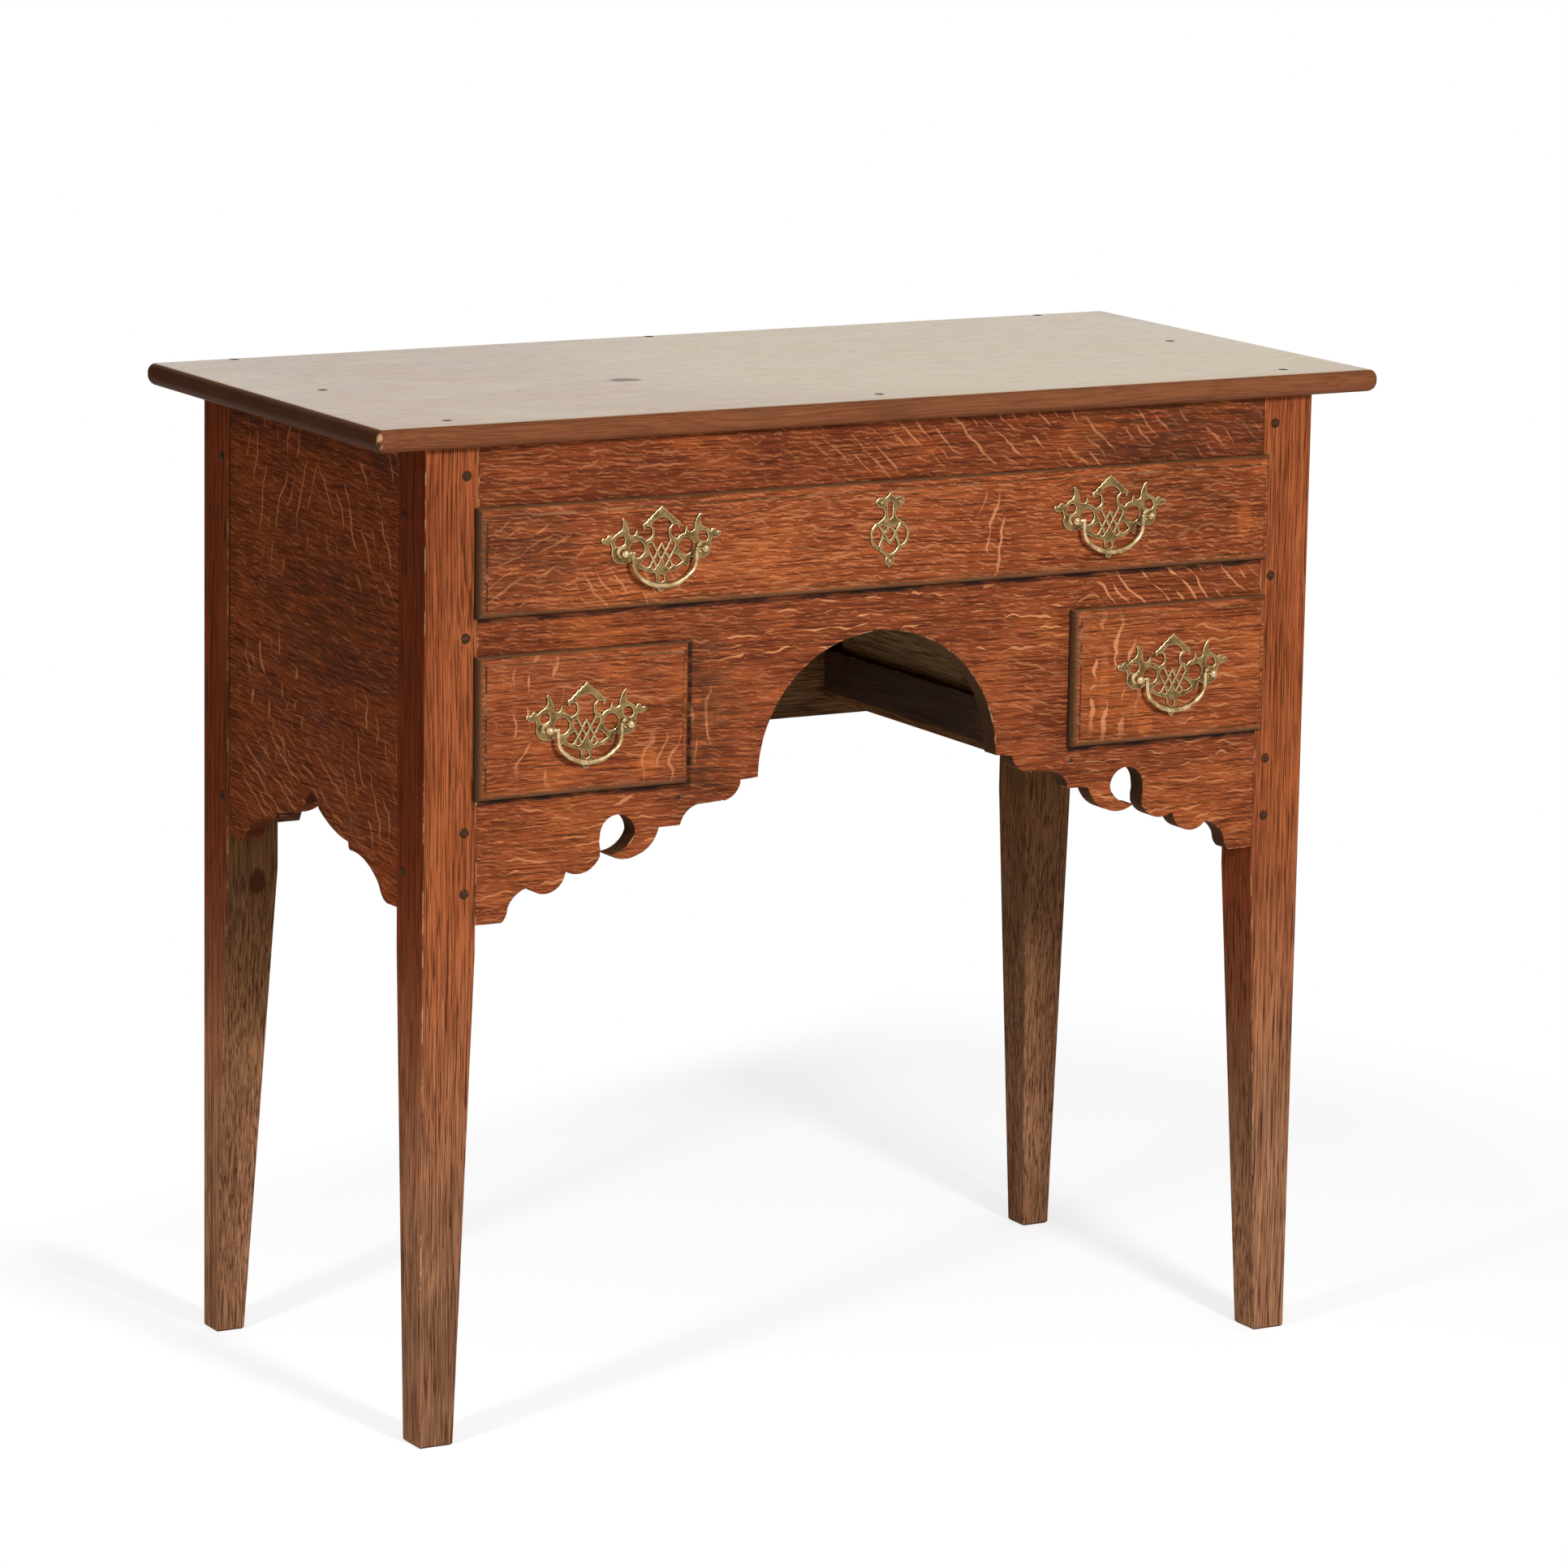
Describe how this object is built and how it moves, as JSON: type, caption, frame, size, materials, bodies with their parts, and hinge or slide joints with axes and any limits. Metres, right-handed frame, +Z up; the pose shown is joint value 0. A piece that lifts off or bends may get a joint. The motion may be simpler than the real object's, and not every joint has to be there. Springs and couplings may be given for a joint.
{
  "type": "lowboy",
  "caption": "Oak lowboy: a long lipped drawer over two short ones, shaped apron with a knee arch, square tapering legs, pierced brass handles.",
  "frame": {"origin": "on the floor, under the middle of the top board, which is the middle of the whole piece", "axes": "+X to the right seen from the front, +Y to the back, +Z up; the drawers face -Y"},
  "size_m": [0.7992, 0.3732, 0.71],
  "materials": {
    "top_oak": "old waxed oak, glossy with a pale bloom",
    "leg_oak": "straight-grained oak, stained reddish brown and waxed, worn arrises",
    "figured_oak": "quarter-sawn oak with pale ray flecks, reddish brown, waxed",
    "panel_oak": "quarter-sawn oak, darker reddish brown",
    "inner_oak": "unpolished oak",
    "peg_oak": "dark end grain",
    "antique_brass": "antique brass, worn bright on high points",
    "old_iron": "dark wrought iron"
  },
  "bodies": {
    "case": {"back_board": "inner_oak", "back_pegs": "peg_oak", "frieze_rail": "figured_oak", "front_apron": "figured_oak", "front_pegs": "peg_oak", "left_back_leg": "leg_oak", "left_front_leg": "leg_oak", "left_kicker": "inner_oak", "left_long_runner": "inner_oak", "left_short_inner_runner": "inner_oak", "left_short_outer_runner": "inner_oak", "left_side_panel": "panel_oak", "left_side_pegs": "peg_oak", "right_back_leg": "leg_oak", "right_front_leg": "leg_oak", "right_kicker": "inner_oak", "right_long_runner": "inner_oak", "right_short_inner_runner": "inner_oak", "right_short_outer_runner": "inner_oak", "right_side_panel": "panel_oak", "right_side_pegs": "peg_oak", "runner_nails": "old_iron", "top_board": "top_oak", "top_pegs": "peg_oak"},
    "long_drawer": {"escutcheon": "antique_brass", "escutcheon_pins": "antique_brass", "long_drawer_back": "inner_oak", "long_drawer_bottom": "inner_oak", "long_drawer_front": "figured_oak", "long_drawer_left_side": "inner_oak", "long_drawer_right_side": "inner_oak", "long_left_backplate": "antique_brass", "long_left_nuts": "old_iron", "long_left_posts": "antique_brass", "long_right_backplate": "antique_brass", "long_right_nuts": "old_iron", "long_right_posts": "antique_brass"},
    "left_drawer": {"left_drawer_back": "inner_oak", "left_drawer_bottom": "inner_oak", "left_drawer_front": "figured_oak", "left_drawer_left_side": "inner_oak", "left_drawer_right_side": "inner_oak", "left_short_backplate": "antique_brass", "left_short_nuts": "old_iron", "left_short_posts": "antique_brass"},
    "right_drawer": {"right_drawer_back": "inner_oak", "right_drawer_bottom": "inner_oak", "right_drawer_front": "figured_oak", "right_drawer_left_side": "inner_oak", "right_drawer_right_side": "inner_oak", "right_short_backplate": "antique_brass", "right_short_nuts": "old_iron", "right_short_posts": "antique_brass"},
    "long_left_handle": {"long_left_bail": "antique_brass"},
    "long_right_handle": {"long_right_bail": "antique_brass"},
    "left_short_handle": {"left_short_bail": "antique_brass"},
    "right_short_handle": {"right_short_bail": "antique_brass"}
  },
  "joints": [
    {"name": "long_drawer_slide", "type": "slide", "parent": "case", "child": "long_drawer", "axis": [0, -1, 0], "range_m": [0, 0.25]},
    {"name": "left_drawer_slide", "type": "slide", "parent": "case", "child": "left_drawer", "axis": [0, -1, 0], "range_m": [0, 0.25]},
    {"name": "right_drawer_slide", "type": "slide", "parent": "case", "child": "right_drawer", "axis": [0, -1, 0], "range_m": [0, 0.25]},
    {"name": "long_left_bail_swing", "type": "hinge", "parent": "long_drawer", "child": "long_left_handle", "pos_m": [-0.18, -0.18195, 0.61525], "axis": [-1, 0, 0], "range_deg": [-5, 170]},
    {"name": "long_right_bail_swing", "type": "hinge", "parent": "long_drawer", "child": "long_right_handle", "pos_m": [0.18, -0.18195, 0.61525], "axis": [-1, 0, 0], "range_deg": [-5, 170]},
    {"name": "left_short_bail_swing", "type": "hinge", "parent": "left_drawer", "child": "left_short_handle", "pos_m": [-0.23625, -0.18195, 0.4977], "axis": [-1, 0, 0], "range_deg": [-5, 170]},
    {"name": "right_short_bail_swing", "type": "hinge", "parent": "right_drawer", "child": "right_short_handle", "pos_m": [0.23625, -0.18195, 0.4977], "axis": [-1, 0, 0], "range_deg": [-5, 170]}
  ]
}
